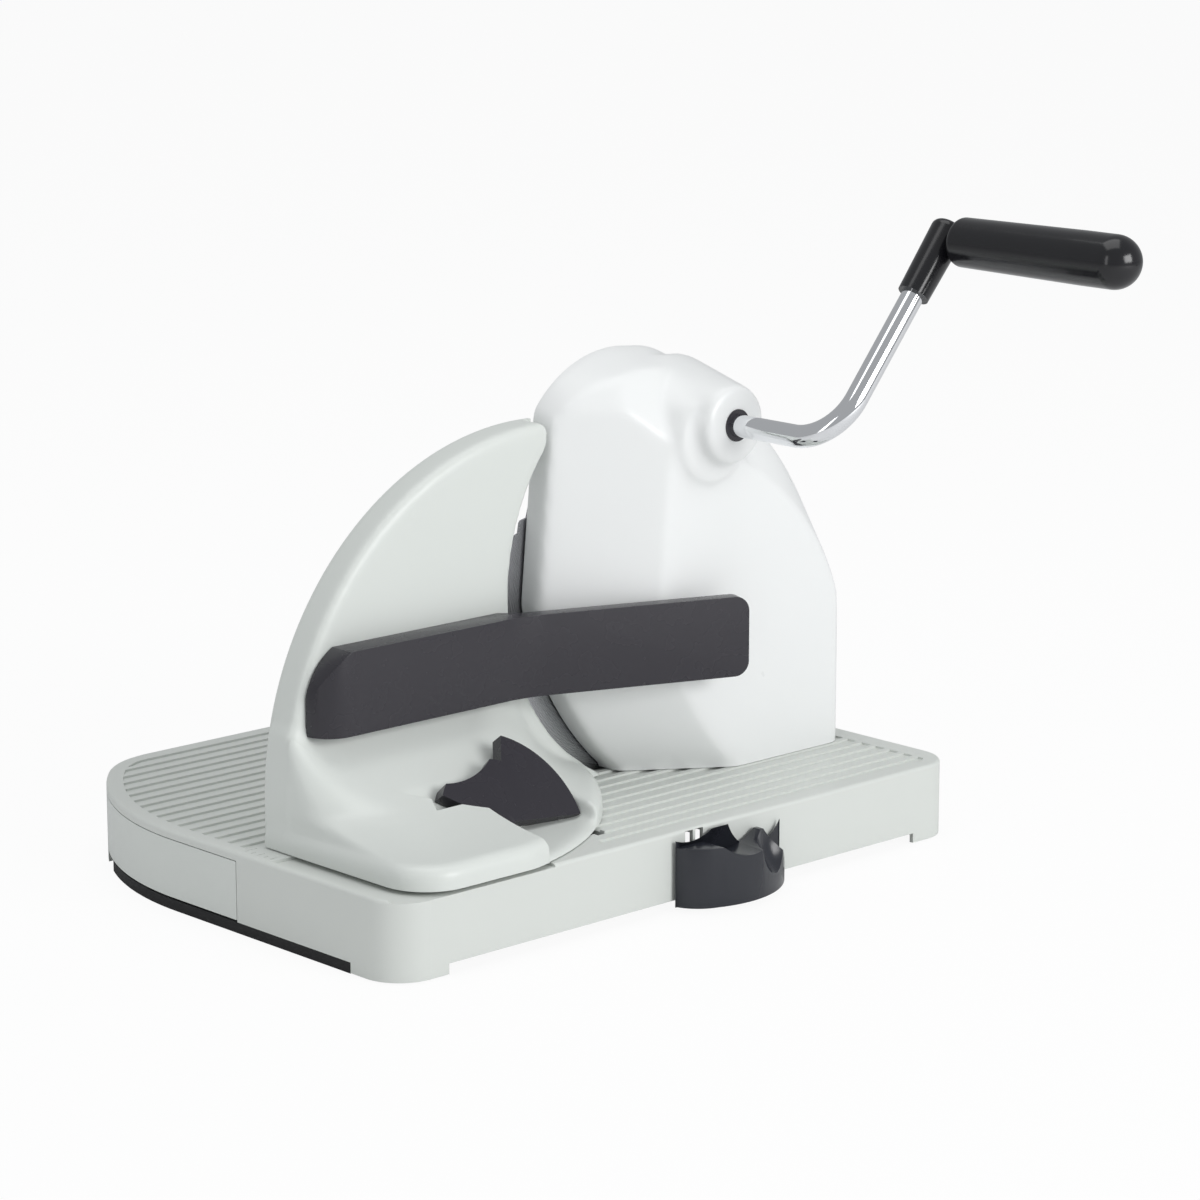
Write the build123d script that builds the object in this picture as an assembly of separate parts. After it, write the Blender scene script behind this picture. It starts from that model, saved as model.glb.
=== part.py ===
from build123d import *
import math
import os

# Hand cranked bread slicer. Millimetres, +Z up, the table is the plane z = 0.
# +X runs along the base to the user's right, -Y points at the user and the crank.
# The origin is the centre of the suction cup's underside, on the table.

# ---- base ----
base_length = 400.0
base_front = -90.0
base_rear = 220.0
deck_top = 42.0
deck_thickness = 3.0
base_wall = 2.5
wall_gap_under = 6.0
foot_height = 0.6
front_corner_radius = 22.0
rear_corner_radius = 50.0
left_end_radius = 175.0
left_end_centre_y = 85.0
corner_foot_length = 34.0
rib_pitch = 10.5
rib_groove_width = 7.0
rib_groove_depth = 1.2
rim_width = 9.0
foot_recess_depth = 1.6
tick_spacing = 5.0
tick_depth = 0.5

# ---- shared clearances ----
slide_clearance = 0.3
running_clearance = 0.05
seat_gap = 0.3

# ---- blade and its gears ----
blade_radius = 95.0
blade_x = 64.0
blade_z = 124.0
blade_plane = 32.0
blade_thickness = 1.6
blade_slot_width = 5.0
tooth_count = 60
tooth_depth = 2.5
blade_guard_gap = 3.0
spindle_radius = 5.0
blade_flange_radius = 21.0
cap_radius = 22.0
cap_thickness = 9.0
gear_module = 2.0
crank_teeth = 20
idler_teeth = 38
pinion_teeth = 16
gear_front = 12.0
gear_width = 10.0
gear_backlash = 0.35

# ---- housing ----
housing_rear = 30.0
housing_wall = 2.5
housing_side_depth = 14.0
housing_front = -20.0
housing_slope = 55.0
housing_right = 187.5
roof_crease_y = 3.0
roof_fall = 9.0
brow_slope = 1.5
right_edge_y = 8.0
right_slope = 0.7
back_plate_thickness = 3.0
back_plate_inset = 1.0
boss_radius = 20.0
boss_front = -35.0
bush_wall = 2.5
housing_screw_radius = 2.0
housing_post_radius = 5.0

# ---- crank ----
crank_x = 84.0
crank_z = 233.0
crank_rod_radius = 6.0
crank_arm_plane = -104.0
crank_arm_angle = 50.0
crank_arm_length = 126.8
crank_bend_radius = 27.0
crank_rear_end = 27.0
sleeve_radius = 9.5
sleeve_length = 44.0
sleeve_overhang = 9.0
grip_radius = 14.0
grip_neck_radius = 13.0
grip_length = 118.0
grip_cap_length = 34.0
grip_pin_radius = 4.0

# ---- stop plate ----
plate_face_rear = 32.9
plate_face_thickness = 2.5
plate_front = 14.0
plate_wall = 2.5
plate_left = -181.5
plate_foot_left = -184.0
plate_shoulder_z = 66.0
plate_arc_radius = 173.0
plate_arc_centre_x = -8.5
plate_notch_radius = 119.5
plate_notch_x = 88.0
plate_notch_z = 150.0
foot_underside = 42.6
foot_shoulder = 54.0
foot_front = -91.0
foot_front_end = -110.0
foot_right_end = (24.0, 25.0)
flare_mid_z = 74.0
flare_mid_front = -24.0
flare_mid_end = -80.0
flare_mid_right = (-12.0, 5.0)
flare_top_z = 114.0
flare_top_end = -60.0
flare_top_right = (-27.0, 13.9)
plate_travel = 20.0
plate_housing_gap = 1.5

# ---- guard bar ----
bar_left = -170.0
bar_bend_x = -36.0
bar_bottom = 100.0
bar_top = 144.0
bar_front = -2.0
bar_thickness = 8.0
bar_swing = 20.8
bar_wing_length = 127.0

# ---- thickness dial ----
dial_centre = (-89.0, -43.0, 52.0)
dial_tilt = 37.0
dial_radius = 51.0
dial_lobe_radius = 36.0
dial_thickness = 8.0
dial_travel = 45.0
dial_end_angle = -6.0
dial_spike_angle = 63.0
dial_lobe_angle = 143.0
dial_scallop_radius = 19.0
dial_shaft_radius = 5.0
dial_shaft_length = 42.0
dial_arm_thickness = 6.0
drive_ball_radius = 4.0
channel_wall = 2.5
pocket_clearance = 0.6
hood_corner = (-100.0, -41.3)
hood_angle = 235.0
pocket_floor = 45.0

# ---- plate guide ----
guide_rod_radius = 4.0
guide_rod_xs = (-160.0, -120.0)
guide_rod_z = 28.0
guide_rod_ends = (-87.0, 22.0)
carrier_x = (-170.0, -110.0)
carrier_y = (-58.5, -10.0)
carrier_z = (20.0, 36.0)
tongue_width = 8.0
tongue_y = (-56.0, -14.0)
tongue_top = 46.0
carrier_screw_radius = 2.0

# ---- storage drawer ----
drawer_seam = 33.5
drawer_end = 178.0
drawer_top = 37.5
drawer_bottom = 7.0
drawer_inner_x = -75.0
drawer_wall = 2.0
drawer_tray_y = (46.0, 165.0)
drawer_tray_top = 33.0
seam_gap = 0.5

# ---- suction foot ----
cup_radius = 35.0
cup_lip = 4.0
cup_hub_radius = 14.0
cup_hub_top = 12.0
bell_radius = 38.0
bell_screw_circle = 31.0
bell_screw_angles = (45, 180, 315)
bell_bottom = 4.6
bell_top = 20.0
bell_wall = 2.5
stem_radius = 5.0
stem_head_radius = 9.0
stem_pin_radius = 2.5
stem_pin_z = 30.0
lever_pivot_y = 18.0
fork_inner = 6.2
fork_outer = 10.2
web_inner = 1.1
web_outer = 6.1
slot_clearance = 0.6
pad_left = -15.5
pad_right = 60.0
pad_bottom = 3.0
pad_top = 40.0
pad_depth = 20.0
pad_gap = 2.2

blade_front = blade_plane - blade_thickness / 2
blade_rear = blade_plane + blade_thickness / 2
left = -base_length / 2
right = base_length / 2
deck_under = deck_top - deck_thickness
pad_radius = 8.0
pad_height = 4.0
pad_places = {
    "front_left_pad": (left + 14, base_front + 14),
    "front_right_pad": (right - 14, base_front + 14),
    "rear_right_pad": (right - 22, base_rear - 36),
    "rear_left_pad": (left + 60, base_rear - 22),
}
parts = {}


def block(x, y, z):
    """A box from its low and high corner along each axis."""
    centre = ((x[0] + x[1]) / 2, (y[0] + y[1]) / 2, (z[0] + z[1]) / 2)
    return Pos(*centre) * Box(x[1] - x[0], y[1] - y[0], z[1] - z[0])


def rod_y(x, z, radius, y0, y1):
    """A cylinder along Y from y0 to y1."""
    return Pos(x, (y0 + y1) / 2, z) * Rot(90, 0, 0) * Cylinder(radius, abs(y1 - y0))


def rod_x(y, z, radius, x0, x1):
    """A cylinder along X from x0 to x1."""
    return Pos((x0 + x1) / 2, y, z) * Rot(0, 90, 0) * Cylinder(radius, abs(x1 - x0))


def rod_z(x, y, radius, z0, z1):
    """A cylinder along Z from z0 to z1."""
    return Pos(x, y, (z0 + z1) / 2) * Cylinder(radius, z1 - z0)


def front_plane(y):
    """Sketch plane facing the user at y: its x is X and its y is Z."""
    return Plane(origin=(0, y, 0), x_dir=(1, 0, 0), z_dir=(0, -1, 0))


def slab(face, y_rear, y_front, taper=0.0):
    """Extrude a front view outline from y_rear towards the user to y_front."""
    placed = front_plane(y_rear) * face
    return extrude(placed, amount=y_rear - y_front, taper=taper)


def round_edges(solid, edges, radii):
    """Round edges with the first radius of the list that the shape can take."""
    for radius in radii:
        try:
            rounded = fillet(edges, radius)
        except Exception:
            continue
        if rounded.is_valid and abs(rounded.volume) > 0:
            return rounded
    return solid


def bell_screw_places():
    """Where the suction bell hangs from the deck."""
    angles = [math.radians(a) for a in bell_screw_angles]
    return [(bell_screw_circle * math.cos(a), bell_screw_circle * math.sin(a)) for a in angles]


# ---------------------------------------------------------------- base

def base_outline(inset=0.0):
    """Plan of the base: square on the right, a large round end on the left."""
    span = base_rear - left_end_centre_y
    end_x = left + left_end_radius - math.sqrt(left_end_radius ** 2 - span ** 2)
    half = math.asin(span / left_end_radius) / 2
    mid_x = left + left_end_radius * (1 - math.cos(half))
    mid_y = left_end_centre_y + left_end_radius * math.sin(half)
    edges = [
        Line((left, base_front), (left, left_end_centre_y)),
        ThreePointArc((left, left_end_centre_y), (mid_x, mid_y), (end_x, base_rear)),
        Line((end_x, base_rear), (right, base_rear)),
        Line((right, base_rear), (right, base_front)),
        Line((right, base_front), (left, base_front)),
    ]
    face = make_face(edges)
    corners = face.vertices().sort_by(Axis.Y)
    face = fillet(corners[:2], front_corner_radius)
    face = fillet(face.vertices().sort_by(Axis.Y)[-2:], rear_corner_radius)
    if inset:
        face = offset(face, amount=-inset)
    return face


def deck_grooves():
    """Grooves along X between the deck's ribs, clear of the plate's foot."""
    grooves = []
    first = base_front + rim_width + rib_groove_width / 2
    count = int((base_rear - rim_width - first) / rib_pitch)
    inner = base_outline(rim_width)
    band = extrude(Pos(0, 0, deck_top - rib_groove_depth) * inner, amount=2 * rib_groove_depth)
    for i in range(count + 1):
        y = first + i * rib_pitch
        y_range = (y - rib_groove_width / 2, y + rib_groove_width / 2)
        if y_range[0] < plate_face_rear:
            start = -60.0 + 0.62 * (y - base_front)
        else:
            start = left
        grooves.append(block((start, right - 1.5 * rim_width), y_range, (deck_top - rib_groove_depth, deck_top + 1)))
    return Compound(grooves) & band


def foot_recess():
    """Shallow recess in the deck's left front that the plate's foot slides in."""
    x_range = (left + rim_width / 2, -96.0)
    y_range = (base_front - 1, 9.5)
    return block(x_range, y_range, (deck_top - foot_recess_depth, deck_top + 1))


def thickness_ticks():
    """Five marks on the left rim, 5 mm apart: slice thickness 0 to 20 mm."""
    marks = []
    for i in range(int(plate_travel / tick_spacing) + 1):
        y = plate_face_rear - i * tick_spacing
        length = 8.0 if i == 0 else 5.0 if i % 2 == 0 else 3.0
        x_range = (left + 5.5, left + 5.5 + length)
        marks.append(block(x_range, (y - 0.4, y + 0.4), (deck_top - tick_depth, deck_top + 1)))
    return Compound(marks)


def wall_notches():
    """The walls stop short of the table between the corner feet."""
    height = (-1.0, wall_gap_under)
    inside = corner_foot_length
    along_x = block((left + inside, right - inside), (base_front - 5, base_rear + 5), height)
    along_y = block((left - 5, right + 5), (base_front + inside, base_rear - 1.6 * inside), height)
    return along_x + along_y


def lever_slots():
    """Two upright slots in the front wall for the suction lever's webs."""
    slots = []
    for side in (-1, 1):
        inner, outer = web_inner - slot_clearance / 2, web_outer + slot_clearance / 2
        x_range = sorted((side * inner, side * outer))
        slots.append(block(x_range, (base_front - 2, base_front + base_wall + 2), (wall_gap_under + 1, deck_top - 1)))
    return Compound(slots)


def housing_post_places():
    """Where the housing is screwed to the deck."""
    middle = (blade_x + housing_right) / 2
    return [(blade_x + 16, 4.0), (housing_right - 17.5, 4.0), (middle + 9, 18.0)]


def base_shell():
    outer = extrude(Pos(0, 0, foot_height) * base_outline(), amount=deck_top - foot_height)
    top_edges = outer.edges().group_by(Axis.Z)[-1]
    outer = round_edges(outer, top_edges, (2.0, 1.2))
    inner = extrude(base_outline(base_wall), amount=deck_under)
    shell = outer - inner - wall_notches()
    for x, y in pad_places.values():
        shell += rod_z(x, y, pad_radius - 1, pad_height, deck_under)
    shell -= deck_grooves()
    shell -= foot_recess()
    shell -= thickness_ticks()
    shell -= lever_slots()
    # blade slot, chord of the blade's disc at the deck
    chord = math.sqrt((blade_radius + blade_guard_gap) ** 2 - (blade_z - deck_top) ** 2)
    half = blade_slot_width / 2
    slot_x = (blade_x - chord, blade_x + chord)
    shell -= block(slot_x, (blade_plane - half, blade_plane + half), (deck_under - 1, deck_top + 1))
    # opening under the foot for the dial's shaft and drive arm
    shell -= block((-101, -38), (-64, -9), (deck_under - 1, deck_top + 1))
    # slot for the carrier's tongue
    tongue_mid = sum(guide_rod_xs) / 2
    slot = (tongue_mid - tongue_width / 2 - 1, tongue_mid + tongue_width / 2 + 1)
    shell -= block(slot, (tongue_y[0] - plate_travel - 2, tongue_y[1] + 2), (deck_under - 1, deck_top + 1))
    # drawer opening in the left wall, and its two runners
    shell -= block((left - 5, left + 75), (drawer_seam - seam_gap, drawer_end + seam_gap),
                   (-1, drawer_top + seam_gap))
    for y, lip in ((drawer_tray_y[0], 1), (drawer_tray_y[1], -1)):
        face = y - lip * (slide_clearance + drawer_wall)
        x_range = (left + 40, drawer_inner_x + 20)
        shell += block(x_range, sorted((face, y - lip * slide_clearance)), (5.0, deck_under))
        shell += block(x_range, sorted((face, y + lip * 3)), (4.0, 6.6))
    # rod holders at both ends of each guide rod
    for x in guide_rod_xs:
        for y in guide_rod_ends:
            y_range = (y, y + 8) if y < 0 else (y - 8, y)
            holder = block((x - 8, x + 8), y_range, (guide_rod_z - 8, deck_under))
            shell += holder
        shell -= rod_y(x, guide_rod_z, guide_rod_radius, *guide_rod_ends)
    # pillars that carry the suction bell
    for px, py in bell_screw_places():
        shell += rod_z(px, py, 4.5, bell_top, deck_under)
        shell -= rod_z(px, py, 1.5, bell_top - 1, deck_under - 4)
    # screw holes for the housing
    for x, y in housing_post_places():
        shell -= rod_z(x, y, housing_screw_radius + 0.2, deck_under - 1, deck_top + 1)
    parts["base_shell"] = shell


def rubber_feet():
    """A sole strip along the left wall, and three round pads."""
    outer = extrude(base_outline(0.6), amount=wall_gap_under - seat_gap)
    inner = extrude(base_outline(9.0), amount=wall_gap_under)
    window = block((left - 5, left + 90), (base_front + corner_foot_length + 1, base_rear - 1.6 * corner_foot_length - 1),
                   (-1, wall_gap_under))
    strip = (outer - inner) & window
    parts["sole_strip"] = strip
    for name, (x, y) in pad_places.items():
        parts[name] = rod_z(x, y, pad_radius, 0.0, pad_height)


def storage_drawer():
    """Tray with a front that is a piece of the base's round left end."""
    skin = extrude(Pos(0, 0, drawer_bottom) * base_outline(), amount=drawer_top - drawer_bottom)
    hollow = extrude(Pos(0, 0, drawer_bottom - 1) * base_outline(base_wall), amount=drawer_top)
    window = block((left - 5, left + 75 - seam_gap), (drawer_seam, drawer_end), (0, deck_top))
    front = (skin - hollow) & window
    tray_body = extrude(Pos(0, 0, drawer_bottom) * base_outline(0.5), amount=drawer_tray_top - drawer_bottom)
    tray = tray_body & block((left - 5, drawer_inner_x), drawer_tray_y, (0, deck_top))
    cavity_body = extrude(Pos(0, 0, drawer_bottom + drawer_wall) * base_outline(base_wall + 0.5), amount=deck_top)
    cavity = cavity_body & block((left - 5, drawer_inner_x - drawer_wall),
                                 (drawer_tray_y[0] + drawer_wall, drawer_tray_y[1] - drawer_wall), (0, deck_top))
    parts["storage_drawer"] = front + (tray - cavity)


# ---------------------------------------------------------------- suction foot

def suction_foot():
    cup = rod_z(0, 0, cup_radius, 0, cup_lip) + rod_z(0, 0, cup_hub_radius, cup_lip, cup_hub_top)
    cup -= rod_z(0, 0, stem_head_radius + 0.1, 4.9, 8.1)
    cup -= rod_z(0, 0, stem_radius + 0.1, 8, cup_hub_top + 1)
    parts["suction_cup"] = cup

    bell = rod_z(0, 0, bell_radius, bell_bottom, bell_top)
    bell -= rod_z(0, 0, bell_radius - bell_wall, bell_bottom - 1, bell_top - 3)
    bell -= rod_z(0, 0, stem_radius + running_clearance, bell_top - 4, bell_top + 1)
    for side in (-1, 1):
        x_range = sorted((side * (fork_outer + 0.6), side * (fork_outer + 5)))
        bell += block(x_range, (lever_pivot_y - 7, lever_pivot_y + 7), (bell_top - 1, stem_pin_z + 6))
    bell -= rod_x(lever_pivot_y, stem_pin_z, stem_pin_radius, -20, 20)
    screws = []
    for px, py in bell_screw_places():
        bell -= rod_z(px, py, 1.7, bell_top - 4, bell_top + 1)
        screws.append(rod_z(px, py, 1.5, bell_top - 3, bell_top + 12) + rod_z(px, py, 3.2, bell_top - 5, bell_top - 3))
    parts["suction_bell"] = bell
    parts["bell_screws"] = Compound(screws)

    stem = rod_z(0, 0, stem_radius, 5, stem_pin_z + 5) + rod_z(0, 0, stem_head_radius, 5, 8)
    stem -= rod_x(0, stem_pin_z, stem_pin_radius, -9, 9)
    parts["suction_stem"] = stem
    parts["stem_pin"] = rod_x(0, stem_pin_z, stem_pin_radius, -fork_outer - 0.3, fork_outer + 0.3)
    parts["lever_pivot_pin"] = rod_x(lever_pivot_y, stem_pin_z, stem_pin_radius, -fork_outer - 5, fork_outer + 5)


def lever_pad():
    """The outside of the lever: a half moon block with a thumb scoop on its right."""
    y_in = base_front - pad_gap
    mid = (pad_left + pad_right) / 2
    arc = ThreePointArc((pad_left, y_in), (mid - 8, y_in - pad_depth), (pad_right, y_in))
    plan = make_face([arc, Line((pad_right, y_in), (pad_left, y_in))])
    pad = extrude(Pos(0, 0, pad_bottom) * plan, amount=pad_top - pad_bottom)
    pad -= Pos(pad_right - 18, y_in - 6, pad_top + 13) * Rot(62, 0, 0) * Cylinder(22, 90)
    pad -= Pos(pad_left + 11, y_in - 12, pad_top + 26) * Rot(90, 0, 0) * Cylinder(30, 60)
    return pad


def suction_lever():
    side = [(26, 26), (26, 34.5), (0, 34.5), (-48, 28.5), (-62, 26.8), (-62, 14), (-48, 21.4), (0, 24)]
    fork_profile = make_face(Polyline(*side, close=True))
    web_side = [(-52, 27.5), (base_front - 4, 24.5), (base_front - 4, 9), (-62, 13), (-52, 19)]
    web_profile = make_face(Polyline(*web_side, close=True))
    lever = Part()
    for s in (-1, 1):
        lever += extrude(Plane.YZ.offset(s * (fork_inner + fork_outer) / 2) * fork_profile,
                         amount=(fork_outer - fork_inner) / 2, both=True)
        lever += extrude(Plane.YZ.offset(s * (web_inner + web_outer) / 2) * web_profile,
                         amount=(web_outer - web_inner) / 2, both=True)
    lever += block((-fork_outer, fork_outer), (-62, -54), (16, 25))
    lever -= rod_x(lever_pivot_y, stem_pin_z, stem_pin_radius + running_clearance, -20, 20)
    for y in (-0.4, 0, 0.4):
        lever -= rod_x(y, stem_pin_z, stem_pin_radius + 0.12, -20, 20)
    lever += lever_pad()
    parts["suction_lever"] = lever


# ---------------------------------------------------------------- gears

def gear_outline(teeth, phase, bore=0.0):
    """Spur gear outline with a tooth centred on the angle phase, in degrees."""
    pitch_r = gear_module * teeth / 2
    base_r = pitch_r * math.cos(math.radians(20))
    outer_r = pitch_r + 0.9 * gear_module
    root_r = pitch_r - 1.15 * gear_module
    inv = lambda a: math.tan(a) - a
    half = math.pi / (2 * teeth) - gear_backlash / 2 / pitch_r
    flank = []
    for k in range(4):
        r = max(base_r, root_r) + (outer_r - max(base_r, root_r)) * k / 3
        a = math.acos(min(1, base_r / r))
        flank.append((r, half + inv(math.radians(20)) - inv(a)))
    points = []
    for i in range(teeth):
        mid = math.radians(phase) + 2 * math.pi * i / teeth
        spots = [(root_r, flank[0][1] + 0.02)] + flank
        for r, a in spots:
            points.append((r * math.cos(mid - a), r * math.sin(mid - a)))
        for r, a in reversed(spots):
            points.append((r * math.cos(mid + a), r * math.sin(mid + a)))
    face = make_face(Polyline(*points, close=True))
    if bore:
        face -= Circle(bore)
    return face


def gear_places():
    """Idler centre and the phase of each gear, so that they mesh at rest."""
    r1, r2, r3 = (gear_module * n / 2 for n in (crank_teeth, idler_teeth, pinion_teeth))
    dx, dz = blade_x - crank_x, blade_z - crank_z
    span = math.hypot(dx, dz)
    a, b = r1 + r2, r2 + r3
    along = (a * a - b * b + span * span) / (2 * span)
    side = math.sqrt(max(a * a - along * along, 0.0))
    idler = (crank_x + (dx * along - dz * side) / span, crank_z + (dz * along + dx * side) / span)
    to_idler = math.degrees(math.atan2(idler[1] - crank_z, idler[0] - crank_x))
    to_blade = math.degrees(math.atan2(blade_z - idler[1], blade_x - idler[0]))
    crank_phase = to_idler
    idler_phase = to_idler + 180 + 180 / idler_teeth
    offset_b = (idler_phase - to_blade) % (360 / idler_teeth)
    pinion_phase = to_blade + 180 - offset_b * idler_teeth / pinion_teeth + 180 / pinion_teeth
    return idler, crank_phase, idler_phase, pinion_phase


idler_centre, crank_phase, idler_phase, pinion_phase = gear_places()
gear_rear = gear_front + gear_width


def gear(x, z, teeth, phase, bore):
    outline = gear_outline(teeth, phase, bore)
    body = slab(Pos(x, z) * outline, gear_rear, gear_front)
    return body


def gear_train():
    ix, iz = idler_centre
    idler = gear(ix, iz, idler_teeth, idler_phase, 5.0 + running_clearance)
    for k in range(6):
        a = math.radians(60 * k)
        idler -= rod_y(ix + 20 * math.cos(a), iz + 20 * math.sin(a), 6.0, gear_front - 1, gear_rear + 1)
    parts["idler_gear"] = idler
    parts["idler_axle"] = (rod_y(ix, iz, 5.0, gear_front - 3, plate_rear_inner + back_plate_thickness)
                           + rod_y(ix, iz, 8.0, gear_rear + 0.5, plate_rear_inner))
    clip = rod_y(ix, iz, 7.5, gear_front - 1.8, gear_front - 0.6) - rod_y(ix, iz, 5.0, gear_front - 3, gear_front)
    parts["idler_clip"] = clip
    parts["crank_gear"] = gear(crank_x, crank_z, crank_teeth, crank_phase, crank_rod_radius)
    pin = Pos(crank_x, gear_front - 3, crank_z) * Rot(0, 90, 0) * Cylinder(1.5, 20)
    collar = rod_y(crank_x, crank_z, 11.0, gear_front - 6, gear_front) - rod_y(crank_x, crank_z, crank_rod_radius, gear_front - 7, gear_front + 1)
    parts["crank_gear_collar"] = collar - pin
    parts["crank_gear_pin"] = pin
    parts["blade_pinion"] = gear(blade_x, blade_z, pinion_teeth, pinion_phase, spindle_radius)


plate_rear_inner = housing_rear - back_plate_inset - back_plate_thickness


def blade_set():
    """Serrated disc, its spindle and flange, and the cap that holds it on."""
    points = []
    for i in range(tooth_count):
        for r, share in ((blade_radius - tooth_depth, 0.0), (blade_radius, 0.35), (blade_radius, 0.5)):
            a = 2 * math.pi * (i + share) / tooth_count
            points.append((r * math.cos(a), r * math.sin(a)))
    disc = make_face(Polyline(*points, close=True)) - Circle(spindle_radius)
    parts["blade"] = slab(Pos(blade_x, blade_z) * disc, blade_rear, blade_front)
    spindle = rod_y(blade_x, blade_z, spindle_radius, gear_front - 4, blade_rear + 6)
    spindle += rod_y(blade_x, blade_z, blade_flange_radius, blade_front - 1.0, blade_front)
    spindle += rod_y(blade_x, blade_z, spindle_radius + 2, gear_rear, gear_rear + 0.6)
    parts["blade_spindle"] = spindle
    cap = rod_y(blade_x, blade_z, cap_radius, blade_rear, blade_rear + cap_thickness)
    cap = round_edges(cap, cap.edges().group_by(Axis.Y)[-1], (3.0, 1.5))
    cap -= rod_y(blade_x, blade_z, spindle_radius, blade_rear - 1, blade_rear + 6)
    for k in range(3):
        a = math.radians(90 + 120 * k)
        cap -= rod_y(blade_x + 27 * math.cos(a), blade_z + 27 * math.sin(a), 10.0, blade_rear + 3, blade_rear + 20)
    parts["blade_cap"] = cap


# ---------------------------------------------------------------- housing

def housing_outline(inset=0.0):
    """Front view of the housing: near upright left edge, arched top, round right."""
    big = 146.0
    shoulder_x, shoulder_z = 109.0, 249.3
    centre_x, centre_z = housing_right - big, 119.5
    mid = math.radians(31)
    bottom = deck_top + seat_gap
    edges = [
        ThreePointArc((46.5, bottom), (9.0, 88.0), (-10.5, 140.0)),
        Line((-10.5, 140.0), (-1.0, 243.0)),
        ThreePointArc((-1.0, 243.0), (26.0, 264.5), (66.0, 270.0)),
        ThreePointArc((66.0, 270.0), (90.0, 264.5), (shoulder_x, shoulder_z)),
        ThreePointArc((shoulder_x, shoulder_z), (centre_x + big * math.cos(mid), centre_z + big * math.sin(mid)),
                      (housing_right, centre_z)),
        Line((housing_right, centre_z), (housing_right, bottom)),
        Line((housing_right, bottom), (46.5, bottom)),
    ]
    face = make_face(edges)
    if inset:
        face = offset(face, amount=-inset)
    return face


def oblique(face, steps):
    """A prism along -Y whose outline drifts sideways: steps are (y, drift in x, drift in z)."""
    solid = Part()
    y0, x0, z0 = steps[0]
    for y1, x1, z1 in steps[1:]:
        drift = Vector(x1 - x0, y1 - y0, z1 - z0)
        placed = Pos(x0, 0, z0) * (front_plane(y0) * face)
        solid += extrude(placed, amount=drift.length, dir=drift.normalized())
        y0, x0, z0 = y1, x1, z1
    return solid


def outside_left(inset):
    """Everything left of the housing's left edge, in front view."""
    foot = (46.5 + inset, deck_top + seat_gap)
    waist = (-10.5 + inset, 140.0)
    neck = (-1.0 + inset, 243.0)
    far = 500.0
    return make_face([
        Line((foot[0], -far), foot),
        ThreePointArc(foot, (9.0 + inset, 88.0), waist),
        Line(waist, neck),
        Line(neck, (neck[0], far)),
        Line((neck[0], far), (-far, far)),
        Line((-far, far), (-far, -far)),
        Line((-far, -far), (foot[0], -far)),
    ])


def outside_roof(inset):
    """Everything above the housing's roof, in front view."""
    start, top = (-1.0, 243.0 - inset), (66.0, 270.0 - inset)
    shoulder = (109.0 - 0.5 * inset, 249.3 - 0.85 * inset)
    side = (housing_right - inset, 119.5)
    far = 500.0
    return make_face([
        Line((-far, start[1]), start),
        ThreePointArc(start, (26.0, 264.5 - inset), top),
        ThreePointArc(top, (90.0, 264.5 - inset), shoulder),
        ThreePointArc(shoulder, (166.6 - 0.85 * inset, 194.7 - 0.5 * inset), side),
        Line(side, (far, side[1])),
        Line((far, side[1]), (far, far)),
        Line((far, far), (-far, far)),
        Line((-far, far), (-far, start[1])),
    ])


def outside_right(inset):
    """Everything right of the housing's round right edge, in front view."""
    shoulder = (109.0 - 0.5 * inset, 249.3 - 0.85 * inset)
    side = (housing_right - inset, 119.5)
    far = 500.0
    return make_face([
        Line((shoulder[0], far), shoulder),
        ThreePointArc(shoulder, (166.6 - 0.85 * inset, 194.7 - 0.5 * inset), side),
        Line(side, (side[0], -far)),
        Line((side[0], -far), (far, -far)),
        Line((far, -far), (far, far)),
        Line((far, far), (shoulder[0], far)),
    ])


def housing_body(inset=0.0):
    """Outer or inner form of the housing, without its hollow: a prism with slanted cuts."""
    rear = housing_rear + (1.0 if inset else 0.0)
    form = slab(housing_outline(inset), rear, housing_front + inset)
    side_start = housing_rear - housing_side_depth + inset
    depth = side_start - housing_front + 6
    form -= oblique(outside_left(inset), [
        (side_start, 0, 0), (side_start - depth, depth * math.tan(math.radians(housing_slope)), 0)])
    roof_y, front_y = roof_crease_y + inset, housing_front - 6
    form -= oblique(outside_roof(inset), [
        (housing_rear + 2, 0, 2 * roof_fall / (housing_rear - roof_crease_y)), (roof_y, 0, -roof_fall),
        (front_y, 0, -roof_fall - (roof_y - front_y) * brow_slope)])
    edge_y = right_edge_y + inset
    form -= oblique(outside_right(inset), [(edge_y, 0, 0), (front_y, -(edge_y - front_y) * right_slope, 0)])
    return form


def gear_housing():
    outer = housing_body()
    boss = rod_y(crank_x, crank_z, boss_radius, boss_front, housing_rear - 10)
    boss = round_edges(boss, boss.edges().group_by(Axis.Y)[0], (5.0, 3.0))
    outer += boss
    inner = housing_body(housing_wall)
    inner &= block((-50, 250), (housing_front + housing_wall, 60), (0, 300))
    shell = outer - inner
    # floor flange that the screws pull down on, and posts for them
    for x, y in housing_post_places():
        shell += rod_z(x, y, housing_post_radius, deck_top + seat_gap, deck_top + 22)
        shell -= rod_z(x, y, housing_screw_radius, deck_top, deck_top + 16)
    bush_r = crank_rod_radius + running_clearance + bush_wall
    shell += rod_y(crank_x, crank_z, bush_r + 4, boss_front + 8, gear_front - 8)
    shell -= rod_y(crank_x, crank_z, bush_r, boss_front - 1, gear_front)
    parts["gear_housing"] = shell
    bush = rod_y(crank_x, crank_z, bush_r, boss_front - 0.6, gear_front - 8)
    bush -= rod_y(crank_x, crank_z, crank_rod_radius + running_clearance, boss_front - 5, gear_front)
    parts["crank_bush"] = bush


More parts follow.
